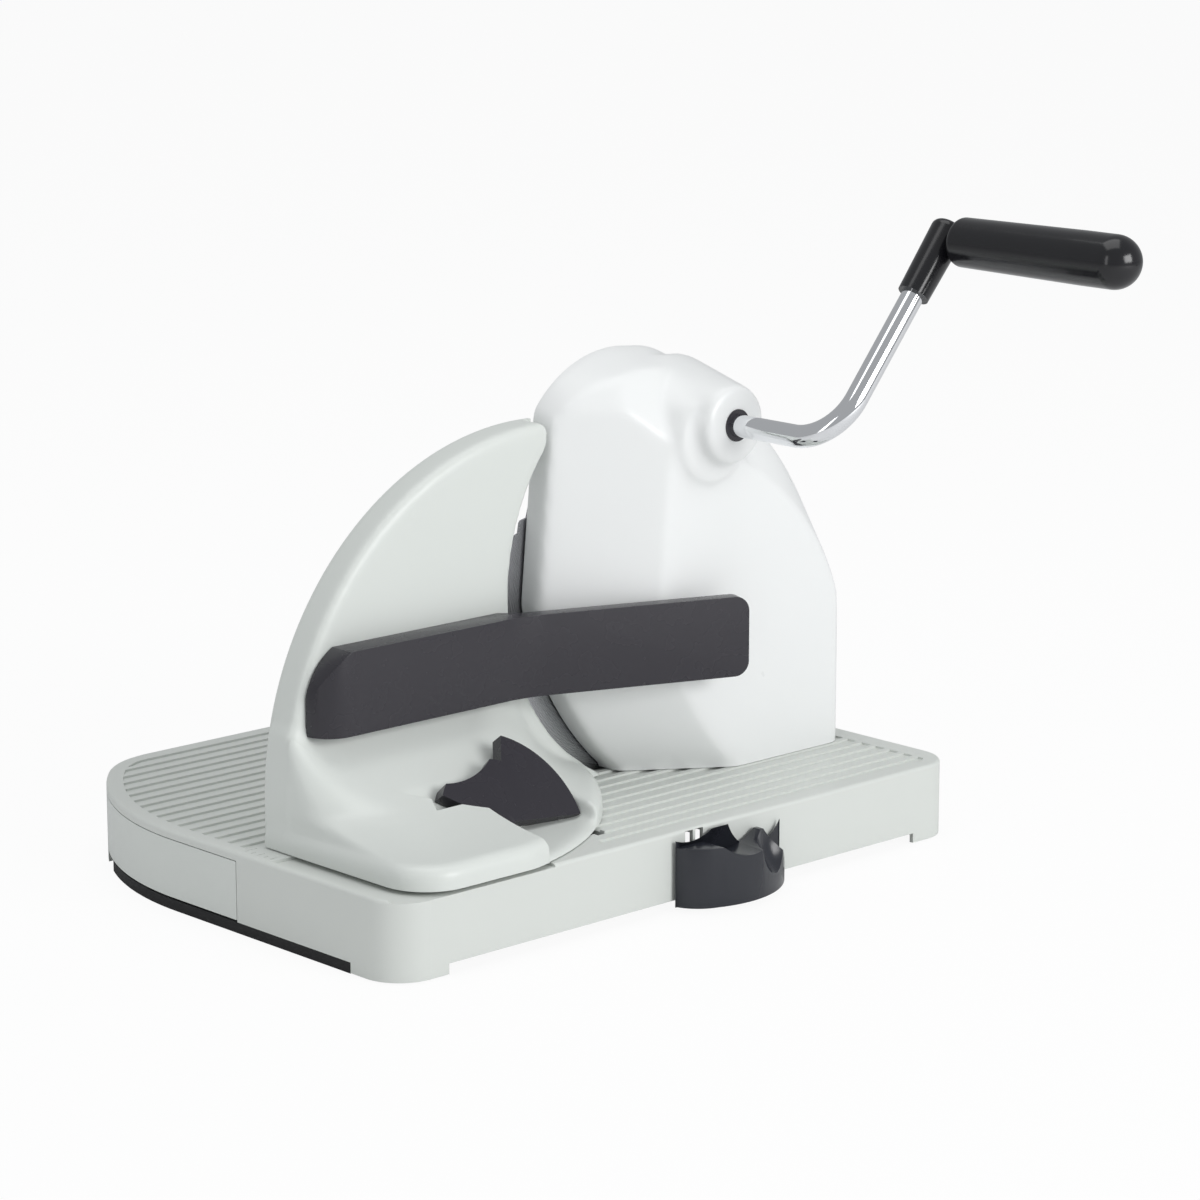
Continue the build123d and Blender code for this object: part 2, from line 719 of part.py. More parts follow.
def housing_back():
    """Back plate behind the blade, with the bearings of all three shafts."""
    outline = housing_outline(housing_wall + slide_clearance)
    y_range = (plate_rear_inner + back_plate_thickness, plate_rear_inner)
    plate = slab(outline, *y_range) & housing_body(housing_wall + slide_clearance)
    bush_r = spindle_radius + running_clearance + bush_wall
    for x, z, r in ((blade_x, blade_z, bush_r), (idler_centre[0], idler_centre[1], 5.0)):
        plate -= rod_y(x, z, r, y_range[1] - 1, y_range[0] + 1)
    plate += rod_y(crank_x, crank_z, crank_rod_radius + 4, plate_rear_inner - 3.2, plate_rear_inner)
    plate -= rod_y(crank_x, crank_z, crank_rod_radius + running_clearance, plate_rear_inner - 4, crank_rear_end + 0.3)
    screws = []
    for x, z in ((28.0, 250.0), (5.0, 160.0), (160.0, 190.0), (176.0, 80.0), (70.0, 60.0)):
        plate -= rod_y(x, z, 1.7, y_range[1] - 1, y_range[0] + 1)
        screws.append(rod_y(x, z, 1.5, plate_rear_inner - 6, y_range[0]) + rod_y(x, z, 3.0, y_range[0], y_range[0] + 0.8))
        # boss of the housing that takes the screw
        tower = rod_y(x, z, 4.0, housing_front + 1, plate_rear_inner - seat_gap) & housing_body()
        parts["gear_housing"] += tower - rod_y(x, z, 1.5, plate_rear_inner - 7, y_range[0])
    parts["housing_back_plate"] = plate
    parts["back_plate_screws"] = Compound(screws)
    bush = rod_y(blade_x, blade_z, bush_r, gear_rear + 0.8, y_range[0] + 0.4)
    bush -= rod_y(blade_x, blade_z, spindle_radius + running_clearance, gear_rear, y_range[0] + 5)
    parts["blade_bush"] = bush
    base_screws = []
    for x, y in housing_post_places():
        head = rod_z(x, y, 4.0, deck_under - 2, deck_under)
        base_screws.append(rod_z(x, y, housing_screw_radius, deck_under, deck_top + 14) + head)
    parts["housing_base_screws"] = Compound(base_screws)


# ---------------------------------------------------------------- crank

def crank_point(r, y=None):
    """A point on the crank arm's centre line, r from the crank's axis."""
    a = math.radians(crank_arm_angle)
    return (crank_x + r * math.cos(a), crank_arm_plane if y is None else y, crank_z + r * math.sin(a))


def crank():
    start = (crank_x, crank_rear_end, crank_z)
    corner = (crank_x, crank_arm_plane, crank_z)
    path = FilletPolyline(start, corner, crank_point(crank_arm_length), radius=crank_bend_radius)
    section = Plane(origin=start, z_dir=(0, -1, 0)) * Circle(crank_rod_radius)
    rod = sweep(section, path=path)
    end = crank_point(crank_arm_length)
    pin_hole = rod_y(end[0], end[2], grip_pin_radius, crank_arm_plane - 12, crank_arm_plane + 12)
    gear_pin = Pos(crank_x, gear_front - 3, crank_z) * Rot(0, 90, 0) * Cylinder(1.5, 20)
    parts["crank_rod"] = rod - pin_hole - gear_pin

    a = math.radians(crank_arm_angle)
    along = Vector(math.cos(a), 0, math.sin(a))
    foot = crank_point(crank_arm_length - sleeve_length + sleeve_overhang)
    frame = Plane(origin=foot, z_dir=along)
    sleeve = extrude(frame * Circle(sleeve_radius - 1), amount=sleeve_length, taper=-1.2)
    top_edge = sleeve.edges().sort_by(lambda e: (Vector(e.center()) - Vector(foot)).dot(along))[-1:]
    sleeve = round_edges(sleeve, top_edge, (4.0, 2.0))
    hollow = extrude(frame.offset(-1) * Circle(crank_rod_radius), amount=sleeve_length - sleeve_overhang + 1)
    parts["crank_sleeve"] = sleeve - hollow - pin_hole
    grip_start = crank_arm_plane - sleeve_radius - 1.6
    pin = rod_y(end[0], end[2], grip_pin_radius, crank_arm_plane + 9, grip_start - grip_length + 8)
    parts["grip_pin"] = pin

    # grip: a slightly tapered capsule in two pieces that turns on its pin
    joint_y = grip_start - (grip_length - grip_cap_length)
    x, z = end[0], end[2]
    outline = [
        Line((0, grip_start), (grip_neck_radius - 4, grip_start)),
        ThreePointArc((grip_neck_radius - 4, grip_start), (grip_neck_radius - 1.2, grip_start - 1.2),
                      (grip_neck_radius, grip_start - 4)),
        Line((grip_neck_radius, grip_start - 4), (grip_radius, joint_y)),
        Line((grip_radius, joint_y), (0, joint_y)),
        Line((0, joint_y), (0, grip_start)),
    ]
    body = Pos(x, 0, z) * revolve(make_face(edges=outline), Axis.Y)
    bore = rod_y(x, z, grip_pin_radius + running_clearance, grip_start + 5, grip_start - grip_length + 7.5)
    parts["grip_body"] = body - bore
    tip = grip_start - grip_length
    round_start = tip + grip_radius
    nose = [
        Line((0, joint_y), (grip_radius, joint_y)),
        Line((grip_radius, joint_y), (grip_radius, round_start)),
        ThreePointArc((grip_radius, round_start),
                      (grip_radius * math.sin(math.pi / 4), round_start - grip_radius * math.cos(math.pi / 4)), (0, tip)),
        Line((0, tip), (0, joint_y)),
    ]
    cap = Pos(x, 0, z) * revolve(make_face(edges=nose), Axis.Y)
    parts["grip_end_cap"] = cap - bore


# ---------------------------------------------------------------- stop plate

def plate_outline(inset=0.0):
    """Front view of the stop plate: a quarter disc with a hollowed right edge."""
    cx, cz = plate_arc_centre_x, plate_shoulder_z
    top = cz + plate_arc_radius
    a = math.radians(135)
    edges = [
        Line((plate_left, foot_underside), (plate_left, cz)),
        ThreePointArc((plate_left, cz), (cx + plate_arc_radius * math.cos(a), cz + plate_arc_radius * math.sin(a)),
                      (cx, top)),
        Line((cx, top), (cx + 12, top)),
        Line((cx + 12, top), (cx + 60, foot_underside)),
        Line((cx + 60, foot_underside), (plate_left, foot_underside)),
    ]
    face = make_face(edges)
    face -= Pos(plate_notch_x, plate_notch_z) * Circle(plate_notch_radius)
    if inset:
        face = offset(face, amount=-inset)
    return face


def foot_outline(front, left_x, front_end_x, right_end, inset=0.0):
    """Plan of the foot, or of the flare above it: straight front, bulging right side."""
    rear = plate_face_rear - plate_face_thickness - inset
    x0, y0 = front_end_x, front + inset
    x1, y1 = right_end[0] - inset, right_end[1]
    chord = math.hypot(x1 - x0, y1 - y0)
    bulge = 0.13 * chord
    mid = ((x0 + x1) / 2 + bulge * (y1 - y0) / chord, (y0 + y1) / 2 - bulge * (x1 - x0) / chord)
    edges = [
        Line((left_x + inset, rear), (left_x + inset, y0)),
        Line((left_x + inset, y0), (x0, y0)),
        ThreePointArc((x0, y0), mid, (x1, y1)),
        Line((x1, y1), (x1, rear)),
        Line((x1, rear), (left_x + inset, rear)),
    ]
    return make_face(edges)


def plate_form(inset=0.0):
    """Outer or inner form of the shell: upright plate, flare and foot."""
    rear = plate_face_rear - plate_face_thickness
    form = slab(plate_outline(inset), rear - inset, plate_front + inset)
    low = foot_outline(foot_front, plate_foot_left, foot_front_end, foot_right_end, inset)
    foot = extrude(Pos(0, 0, foot_underside) * low, amount=foot_shoulder - foot_underside - inset)
    middle = foot_outline(flare_mid_front, plate_left, flare_mid_end, flare_mid_right, inset)
    top = foot_outline(plate_front - 0.5, plate_left + 6, flare_top_end, flare_top_right, inset)
    flare = loft([Pos(0, 0, foot_shoulder - inset) * low, Pos(0, 0, flare_mid_z - inset) * middle,
                  Pos(0, 0, flare_top_z - inset) * top], ruled=True)
    return form + foot + flare


def dial_frame(depth=0.0):
    """Plane of the dial's face, or one that lies deeper in the plate."""
    t = math.radians(dial_tilt)
    normal = Vector(0, -math.cos(t), math.sin(t))
    origin = Vector(*dial_centre) - normal * depth
    return Plane(origin=origin, x_dir=(1, 0, 0), z_dir=normal)


def blade_clearance(y0, y1):
    """Room round the blade in front view, between y0 and y1."""
    return rod_y(blade_x, blade_z, blade_radius + blade_guard_gap, y0, y1)


def stop_plate():
    outer = plate_form()
    shell = outer - plate_form(plate_wall)
    shell -= block((-400, 400), (-400, 400), (foot_underside - 5, foot_underside + 0.01))
    # solid backing round the dial's pocket, then the pocket itself
    backing = extrude(dial_frame(dial_thickness + 3) * Circle(dial_radius + 3), amount=40)
    keep = block((-400, 400), (-400, plate_face_rear - plate_face_thickness), (foot_underside, 400))
    shell += outer & backing & keep & block((-150, 20), (-100, 20), (foot_underside, 110))
    room = extrude(dial_frame(dial_thickness + 0.4) * Circle(dial_radius + pocket_clearance), amount=90)
    hood = Pos(*hood_corner, 0) * Rot(0, 0, hood_angle) * Pos(150, 0, 0) * Box(300, 400, 400)
    hood &= block((-400, hood_corner[0] + 2), (-400, 400), (-200, 400))
    slot = extrude(dial_frame(dial_thickness + 0.4) * Circle(dial_lobe_radius + 3), amount=dial_thickness + 0.8)
    above = block((-400, 400), (-400, 400), (pocket_floor, 400))
    disc = extrude(dial_frame(dial_thickness + 0.4) * Circle(dial_radius + pocket_clearance), amount=dial_thickness + 0.8)
    shell -= (room & above) - hood
    shell -= disc - hood
    shell -= slot
    # bearing of the dial's shaft and the block that the carrier is screwed to
    tube = extrude(dial_frame(dial_thickness + 16) * Circle(dial_shaft_radius + 4), amount=14)
    tongue_mid = sum(guide_rod_xs) / 2
    boss = block((tongue_mid - 9, tongue_mid + 9), (tongue_y[0] - 2, tongue_y[1] + 2), (tongue_top, 62)) & outer
    shell += (tube & block((-400, 400), (-400, 400), (foot_underside, 400))) + boss
    shell -= extrude(dial_frame(dial_thickness + 30) * Circle(dial_shaft_radius + running_clearance), amount=34)
    shell -= block((tongue_mid - tongue_width / 2 - 0.2, tongue_mid + tongue_width / 2 + 0.2),
                   (tongue_y[0] - 0.2, tongue_y[1] + 0.2), (foot_underside - 1, tongue_top))
    for y in (tongue_y[0] + 9, tongue_y[1] - 9):
        shell -= rod_z(tongue_mid, y, carrier_screw_radius, tongue_top - 1, tongue_top + 10)
    shell -= blade_clearance(blade_front - 4, blade_rear + 10)
    path_of_housing = slab(housing_outline(-plate_housing_gap), plate_face_rear + 2, -200)
    shell -= path_of_housing
    solids = sorted(shell.solids(), key=lambda s: s.volume)
    parts["stop_plate_shell"] = solids[-1]

    face = slab(plate_outline(0.4), plate_face_rear, plate_face_rear - plate_face_thickness)
    parts["stop_plate_face"] = face - blade_clearance(blade_front - 4, blade_rear + 10) - path_of_housing


def guard_bar():
    """Black bar on the plate's front, whose right wing swings out past the blade."""
    back = plate_front
    y_front = bar_front
    wing = math.radians(bar_swing)
    end = (bar_bend_x + bar_wing_length * math.cos(wing), y_front - bar_wing_length * math.sin(wing))
    back_off = bar_thickness / math.cos(wing)
    plan = Polyline((bar_left, back), (bar_left, y_front + 8), (bar_left + 6, y_front), (bar_bend_x, y_front), end,
                    (end[0] + 3, end[1] + bar_thickness), (bar_bend_x, y_front + back_off), (bar_bend_x, back), close=True)
    bar = extrude(Pos(0, 0, bar_bottom) * make_face(plan), amount=bar_top - bar_bottom)
    lean = Pos(bar_left - 4, 0, bar_top + 6) * Rot(0, 20, 0) * Box(20, 80, 120)
    bar -= lean
    shadow = block((-400, 400), (-400, plate_front), (0, 400))
    bar = (bar & shadow) - plate_form()
    bar = round_edges(bar, bar.edges().filter_by(Axis.Y), (3.0, 1.0))
    screws = []
    for x in (bar_left + 40, bar_bend_x - 30):
        z = (bar_bottom + bar_top) / 2
        bar -= rod_y(x, z, 2.0, back - 9, back + 1)
        parts["stop_plate_shell"] -= rod_y(x, z, 2.2, back - 1, back + plate_wall + 1)
        screws.append(rod_y(x, z, 2.0, back - 8, back + plate_wall) + rod_y(x, z, 4.0, back + plate_wall, back + plate_wall + 2.5))
    parts["guard_bar"] = sorted(bar.solids(), key=lambda s: s.volume)[-1]
    parts["guard_bar_screws"] = Compound(screws)


def thickness_dial():
    """Fan shaped dial with a thumb scallop, its shaft, drive arm and ball."""
    face = Circle(dial_radius)
    big = 200.0

    def wedge(a0, a1):
        steps = [a0 + (a1 - a0) * k / 6 for k in range(7)]
        spots = [(big * math.cos(math.radians(a)), big * math.sin(math.radians(a))) for a in steps]
        return make_face(Polyline((0, 0), *spots, close=True))

    fan = Circle(dial_radius) & wedge(dial_end_angle, dial_spike_angle)
    lobe = Circle(dial_lobe_radius) & wedge(dial_spike_angle, dial_lobe_angle)
    sketch = fan + lobe
    a = math.radians(86)
    sketch -= Pos(44.5 * math.cos(a), 44.5 * math.sin(a)) * Circle(dial_scallop_radius)
    sketch += Circle(dial_shaft_radius + 3)
    body = extrude(dial_frame(dial_thickness) * sketch, amount=dial_thickness)
    body -= extrude(dial_frame(dial_thickness) * Circle(dial_shaft_radius), amount=dial_thickness - 3)
    parts["thickness_dial"] = body
    shaft = extrude(dial_frame(dial_shaft_length + 3) * Circle(dial_shaft_radius), amount=dial_shaft_length)
    parts["dial_shaft"] = shaft
    # arm at the shaft's foot with the ball that rides in the fixed channel
    reach = plate_travel / (2 * math.sin(math.radians(dial_tilt)) * math.sin(math.radians(dial_travel / 2)))
    arm_plane = dial_frame(dial_shaft_length)
    turn = Rot(0, 0, -dial_travel / 2)
    hub = Circle(dial_shaft_radius + 4)
    bar = Pos(reach / 2 - 4, 0) * Rectangle(reach - 8, 7)
    arm = extrude(arm_plane * turn * (hub + bar), amount=dial_arm_thickness / 2, both=True)
    neck = arm_plane * turn * Pos(reach - 6, 0, 0) * Rot(0, 90, 0) * Cylinder(1.8, 10)
    ball = arm_plane * turn * Pos(reach, 0, 0) * Sphere(drive_ball_radius)
    arm = arm + neck + ball
    arm -= extrude(dial_frame(dial_shaft_length + 10) * Circle(dial_shaft_radius), amount=20)
    parts["dial_arm"] = arm
    # channel fixed to the base: two upright walls that hold the ball in Y
    centre = arm_plane * turn * Pos(reach, 0, 0)
    bx, by = centre.position.X, centre.position.Y
    half = drive_ball_radius + slide_clearance
    channel = block((bx - 2, bx + 10.5), (by - half - channel_wall, by + half + channel_wall), (8, 44))
    channel -= block((bx - 3, bx + 8), (by - half, by + half), (7, 45))
    for side in (-1, 1):
        flange_y = sorted((by + side * half, by + side * (half + channel_wall)))
        channel += block((bx + 6, bx + 22), flange_y, (deck_under - 3, deck_under))
    channel += block((bx + 9, bx + 22), (by - half - channel_wall, by + half + channel_wall), (deck_under - 3, deck_under))
    channel -= rod_z(bx + 17, by, 1.7, deck_under - 4, deck_under + 1)
    parts["dial_channel"] = channel
    screw = rod_z(bx + 17, by, 1.5, deck_under - 3, deck_under + 2) + rod_z(bx + 17, by, 3.0, deck_under - 5, deck_under - 3)
    parts["channel_screw"] = screw
    parts["base_shell"] -= rod_z(bx + 17, by, 1.5, deck_under - 1, deck_under + 2)


def plate_guide():
    """Carrier under the deck that rides on two rods and holds the foot down."""
    tongue_mid = sum(guide_rod_xs) / 2
    carrier = block(carrier_x, carrier_y, carrier_z)
    carrier += block((tongue_mid - tongue_width / 2, tongue_mid + tongue_width / 2), tongue_y, (carrier_z[1], tongue_top))
    for x in guide_rod_xs:
        carrier -= rod_y(x, guide_rod_z, guide_rod_radius + running_clearance, -200, 200)
    screws = []
    for y in (tongue_y[0] + 9, tongue_y[1] - 9):
        carrier -= rod_z(tongue_mid, y, carrier_screw_radius, 0, tongue_top + 1)
        carrier -= rod_z(tongue_mid, y, 4.0, 0, carrier_z[0] + 3)
        screws.append(rod_z(tongue_mid, y, carrier_screw_radius, carrier_z[0] + 3, tongue_top + 9)
                      + rod_z(tongue_mid, y, 3.8, carrier_z[0], carrier_z[0] + 3))
    parts["plate_carrier"] = carrier
    parts["carrier_screws"] = Compound(screws)
    for name, x in zip(("left_guide_rod", "right_guide_rod"), guide_rod_xs):
        parts[name] = rod_y(x, guide_rod_z, guide_rod_radius, *guide_rod_ends)


base_shell()
rubber_feet()
storage_drawer()
suction_foot()
suction_lever()
gear_train()
blade_set()
gear_housing()
housing_back()
crank()
stop_plate()
guard_bar()
thickness_dial()
plate_guide()

os.makedirs("parts", exist_ok=True)
for name, shape in parts.items():
    export_step(shape, f"parts/{name}.step")
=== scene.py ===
import math

import bmesh
import bpy
from mathutils import Matrix, Vector


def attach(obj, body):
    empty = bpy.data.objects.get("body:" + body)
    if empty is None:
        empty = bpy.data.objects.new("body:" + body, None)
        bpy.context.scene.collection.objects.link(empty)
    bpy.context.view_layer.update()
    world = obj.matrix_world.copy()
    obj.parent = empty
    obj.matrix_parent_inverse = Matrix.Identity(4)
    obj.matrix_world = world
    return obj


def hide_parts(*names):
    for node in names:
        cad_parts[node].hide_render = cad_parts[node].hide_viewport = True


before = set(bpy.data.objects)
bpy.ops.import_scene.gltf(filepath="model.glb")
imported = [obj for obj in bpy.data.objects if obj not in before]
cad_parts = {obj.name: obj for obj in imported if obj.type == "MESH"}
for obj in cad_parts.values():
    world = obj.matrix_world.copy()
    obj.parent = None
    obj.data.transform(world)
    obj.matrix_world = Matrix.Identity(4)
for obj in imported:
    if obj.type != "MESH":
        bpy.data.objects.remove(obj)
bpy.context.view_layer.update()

# ---------------------------------------------------------------- camera
# A longish lens looks down a little at the machine's left front corner, with the
# crank towards the viewer. The object hardly converges, so the camera is far away.
eye_azimuth = math.radians(43.06)
eye_fall = math.radians(12.8)
looking = Vector((math.sin(eye_azimuth) * math.cos(eye_fall), math.cos(eye_azimuth) * math.cos(eye_fall),
                  -math.sin(eye_fall)))
lens = bpy.data.cameras.new("studio_camera")
lens.sensor_width = 36.0
lens.lens = 118.8
lens.clip_end = 50.0
camera = bpy.data.objects.new("studio_camera", lens)
camera.location = (-1.3653, -1.4805, 0.6038)
camera.rotation_euler = looking.to_track_quat("-Z", "Y").to_euler()
bpy.context.scene.collection.objects.link(camera)
bpy.context.scene.camera = camera


# ---------------------------------------------------------------- plain white moulding
# Base, cover, plate and drawer are one light plastic: satin, very slightly warm, with
# a fine mould grain and a faint unevenness of colour from the moulding.
class Tap:
    """A node's output that adds Math nodes when it is used in an expression."""

    def __init__(self, tree, socket):
        self.tree = tree
        self.socket = socket

    def combine(self, kind, first, second):
        node = self.tree.nodes.new("ShaderNodeMath")
        node.operation = kind
        for slot, value in zip(node.inputs, (first, second)):
            if isinstance(value, Tap):
                self.tree.links.new(value.socket, slot)
            else:
                slot.default_value = value
        return Tap(self.tree, node.outputs[0])

    def __add__(self, other):
        return self.combine("ADD", self, other)

    def __radd__(self, other):
        return self.combine("ADD", other, self)

    def __sub__(self, other):
        return self.combine("SUBTRACT", self, other)

    def __rsub__(self, other):
        return self.combine("SUBTRACT", other, self)

    def __mul__(self, other):
        return self.combine("MULTIPLY", self, other)

    def __rmul__(self, other):
        return self.combine("MULTIPLY", other, self)

    def __truediv__(self, other):
        return self.combine("DIVIDE", self, other)


class Finish:
    """One material: its nodes are added by name, its shader's sockets take values or taps."""

    def __init__(self, name, **fixed):
        self.material = bpy.data.materials.new(name)
        self.material.use_nodes = True
        self.tree = self.material.node_tree
        self.shader = self.tree.nodes["Principled BSDF"]
        self.surface = self.tree.nodes["Material Output"].inputs["Surface"]
        for socket, value in fixed.items():
            self.set(socket.replace("_", " "), value)

    def set(self, socket, value):
        self.feed(self.shader.inputs[socket], value)

    def feed(self, socket, value):
        if isinstance(value, Tap):
            self.tree.links.new(value.socket, socket)
        elif socket.type == "RGBA" and len(value) == 3:
            socket.default_value = (*value, 1.0)
        else:
            socket.default_value = value

    def node(self, kind, sockets=None, output=0, stops=None, **settings):
        made = self.tree.nodes.new("ShaderNode" + kind)
        for key, value in settings.items():
            setattr(made, key, value)
        if stops:
            ramp = made.color_ramp.elements
            while len(ramp) < len(stops):
                ramp.new(0.5)
            for element, (position, shade) in zip(ramp, stops):
                element.position = position
                element.color = (shade, shade, shade, 1.0)
        for key, value in (sockets or {}).items():
            self.feed(made.inputs[key], value)
        return Tap(self.tree, made.outputs[output])

    def place(self):
        return self.node("TexCoord", output="Object")

    def noise(self, scale, detail=2.0, place=None):
        return self.node("TexNoise", {"Vector": place or self.place(), "Scale": scale, "Detail": detail})

    def blend(self, factor, first, second):
        return self.node("Mix", {0: factor, 6: first, 7: second}, output=2, data_type="RGBA")

    def emboss(self, height, distance, strength=1.0):
        self.set("Normal", self.node("Bump", {"Height": height, "Distance": distance, "Strength": strength}))


def white_moulding(name, light, dark, roughness, grain=0.00003):
    finish = Finish(name, Specular_IOR_Level=0.5)
    patch = finish.noise(14.0, 3.0)
    finish.set("Base Color", finish.blend(patch, dark, light))
    finish.set("Roughness", roughness - 0.05 + finish.noise(60.0) * 0.10)
    finish.emboss(finish.noise(1500.0, 3.0), grain, 0.35)
    return finish.material


body_white = white_moulding("body_white", (0.705, 0.735, 0.705), (0.690, 0.720, 0.690), 0.38)
deck_white = white_moulding("deck_white", (0.680, 0.705, 0.675), (0.655, 0.680, 0.650), 0.44)
# The cover's copy of the white is painted lighter than the rest: painted light for the brighter light on the cover.
cover_white_painted_light = white_moulding("cover_white_painted_light", (0.850, 0.862, 0.858), (0.842, 0.854, 0.850), 0.30)


def dress(material, *nodes):
    """Give carried-over solids their finish."""
    for node in nodes:
        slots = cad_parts[node].data.materials
        slots.clear()
        slots.append(material)


# ---------------------------------------------------------------- base
# A thin-walled moulded tray, open below, with low ribs across its deck. Its left end
# is one large curve and takes the storage drawer.
dress(deck_white, "base_shell")
dress(body_white, "storage_drawer")


# ---------------------------------------------------------------- soft sole and pads
# Black rubber strip under the round left end and four pads under the corners. Cut
# from sheet and glued on, with a matt, slightly mottled skin.
rubber = Finish("sole_rubber", Base_Color=(0.018, 0.018, 0.019), Specular_IOR_Level=0.35)
rubber.set("Roughness", 0.62 + rubber.noise(220.0) * 0.18)
rubber.emboss(rubber.noise(900.0, 4.0), 0.00006, 0.5)
dress(rubber.material, "sole_strip", "front_left_pad", "front_right_pad", "rear_left_pad", "rear_right_pad",
      "suction_cup")


# ---------------------------------------------------------------- hidden works
# Turned steel pins and rods, nylon gears, a bronze bush and the plastic parts under
# the deck. They show only from below, or through the slots.
def worked_metal(name, colour, roughness, scale):
    finish = Finish(name, Base_Color=colour, Metallic=1.0)
    finish.set("Roughness", roughness + finish.noise(scale, 4.0) * 0.14)
    finish.emboss(finish.noise(scale * 4, 2.0), 0.00002, 0.3)
    return finish.material


steel = worked_metal("turned_steel", (0.56, 0.57, 0.58), 0.26, 180.0)
bronze = worked_metal("sintered_bronze", (0.62, 0.42, 0.21), 0.36, 420.0)
nylon = white_moulding("natural_nylon", (0.80, 0.79, 0.73), (0.77, 0.76, 0.69), 0.48)
dress(steel, "bell_screws", "suction_stem", "stem_pin", "lever_pivot_pin", "idler_axle", "idler_clip",
      "crank_gear_collar", "crank_gear_pin", "blade_spindle", "back_plate_screws", "housing_base_screws",
      "grip_pin", "guard_bar_screws", "dial_shaft", "dial_arm", "channel_screw", "carrier_screws",
      "left_guide_rod", "right_guide_rod")
dress(bronze, "blade_bush")
dress(nylon, "idler_gear", "crank_gear", "blade_pinion", "dial_channel", "plate_carrier")


# ---------------------------------------------------------------- charcoal moulding
# Guard bar, dial, lever, grip and caps are one dark plastic with a satin skin that
# picks up broad soft highlights.
def charcoal_moulding(name, colour, roughness, tint=0.002):
    finish = Finish(name, Specular_IOR_Level=0.5)
    deeper = tuple(max(part - tint, 0.0) for part in colour)
    finish.set("Base Color", finish.blend(finish.noise(35.0, 3.0), deeper, colour))
    finish.set("Roughness", roughness - 0.04 + finish.noise(90.0) * 0.08)
    finish.emboss(finish.noise(1300.0, 3.0), 0.00001, 0.2)
    return finish.material


charcoal = charcoal_moulding("charcoal", (0.026, 0.024, 0.031), 0.27)
grip_black = charcoal_moulding("grip_black", (0.010, 0.010, 0.012), 0.18)
lever_blue_black = charcoal_moulding("lever_blue_black", (0.022, 0.024, 0.031), 0.24)
dress(charcoal, "blade_cap", "suction_bell", "crank_bush")
dress(grip_black, "grip_body", "grip_end_cap", "crank_sleeve")


# ---------------------------------------------------------------- blade
# A hard steel disc ground on both faces, so fine rings of grinding run round its
# axis, and its rim carries small wave teeth.
blade_axis_x = 0.064
blade_axis_z = 0.124
blade_steel = Finish("ground_blade", Base_Color=(0.42, 0.42, 0.44), Metallic=1.0)
spot = blade_steel.node("Mapping", {"Vector": blade_steel.place(), "Location": (-blade_axis_x, 0.0, -blade_axis_z)})
rings = blade_steel.node("TexWave", {"Vector": spot, "Scale": 260.0, "Distortion": 0.6, "Detail": 2.0},
                         output="Fac", wave_type="RINGS", rings_direction="Y")
blade_steel.set("Roughness", 0.24 + rings * 0.14)
blade_steel.emboss(rings, 0.00002, 0.5)
dress(blade_steel.material, "blade")


# ---------------------------------------------------------------- crank rod
# One bent round bar, polished and chromed, from the gear to the grip's socket.
chrome = Finish("crank_chrome", Base_Color=(0.80, 0.81, 0.83), Metallic=1.0)
chrome.set("Roughness", 0.045 + chrome.noise(30.0, 3.0) * 0.04)
dress(chrome.material, "crank_rod")


# ---------------------------------------------------------------- cover over the gears
# A tall white shell, its colour painted lighter than the plate's for the light that falls on it. Its left face falls
# back towards the plate, its roof falls forward, and a rounded boss grows out of it round the crank.
mm = 0.001
cover_rear = 30.0
cover_wall = 2.2
cover_side_start = 16.0
cover_left_drift = 1.43
roof_crease_y = 3.0
roof_fall = 9.0
brow_slope = 1.5
right_edge_y = -11.0
right_slope = 1.1
cover_front = -21.5
cover_base = 42.3
crank_axis = (84.0, 233.0)
boss_front = -35.0
boss_radius = 20.5
boss_skirt = 33.0
shoulder_radius = 40.0
shoulder_end = 24.0
bush_hole = 8.6
past_cut = 14.0
cover_voxel = 1.7
cover_softening = 26


def bow(start, through, end, steps):
    """Points after the start on the arc that runs through three points of a flat view."""
    a, b, c = Vector(start), Vector(through), Vector(end)
    d = 2 * (a.x * (b.y - c.y) + b.x * (c.y - a.y) + c.x * (a.y - b.y))
    sq = [p.length_squared for p in (a, b, c)]
    centre = Vector(((sq[0] * (b.y - c.y) + sq[1] * (c.y - a.y) + sq[2] * (a.y - b.y)) / d,
                     (sq[0] * (c.x - b.x) + sq[1] * (a.x - c.x) + sq[2] * (b.x - a.x)) / d))
    turn = (b - centre).angle_signed(a - centre) + (c - centre).angle_signed(b - centre)
    first = math.atan2(a.y - centre.y, a.x - centre.x)
    radius = (a - centre).length
    return [(centre.x + radius * math.cos(first + turn * step / steps),
             centre.y + radius * math.sin(first + turn * step / steps)) for step in range(1, steps + 1)]


def outline(bm, points, place):
    """One face round the points of a flat view, each put in space by place(u, v)."""
    corners = [bm.verts.new(place(u, v)) for u, v in points]
    return bm.faces.new(corners)


def push(bm, face, *moves):
    """Extrude a face by one offset after another; the first face stays as the solid's back."""
    for step, move in enumerate(moves):
        grown = bmesh.ops.extrude_face_region(bm, geom=[face])
        if step:
            bmesh.ops.delete(bm, geom=[face], context="FACES_ONLY")
        face = [part for part in grown["geom"] if isinstance(part, bmesh.types.BMFace)][0]
        bmesh.ops.translate(bm, verts=face.verts, vec=Vector(move))
    return face


def piece(bm, name, scale=mm):
    """Turn a bmesh drawn in millimetres into an object of the scene, in metres."""
    bmesh.ops.recalc_face_normals(bm, faces=bm.faces[:])
    bmesh.ops.scale(bm, vec=(scale, scale, scale), verts=bm.verts[:])
    mesh = bpy.data.meshes.new(name)
    bm.to_mesh(mesh)
    bm.free()
    made = bpy.data.objects.new(name, mesh)
    bpy.context.scene.collection.objects.link(made)
    return made


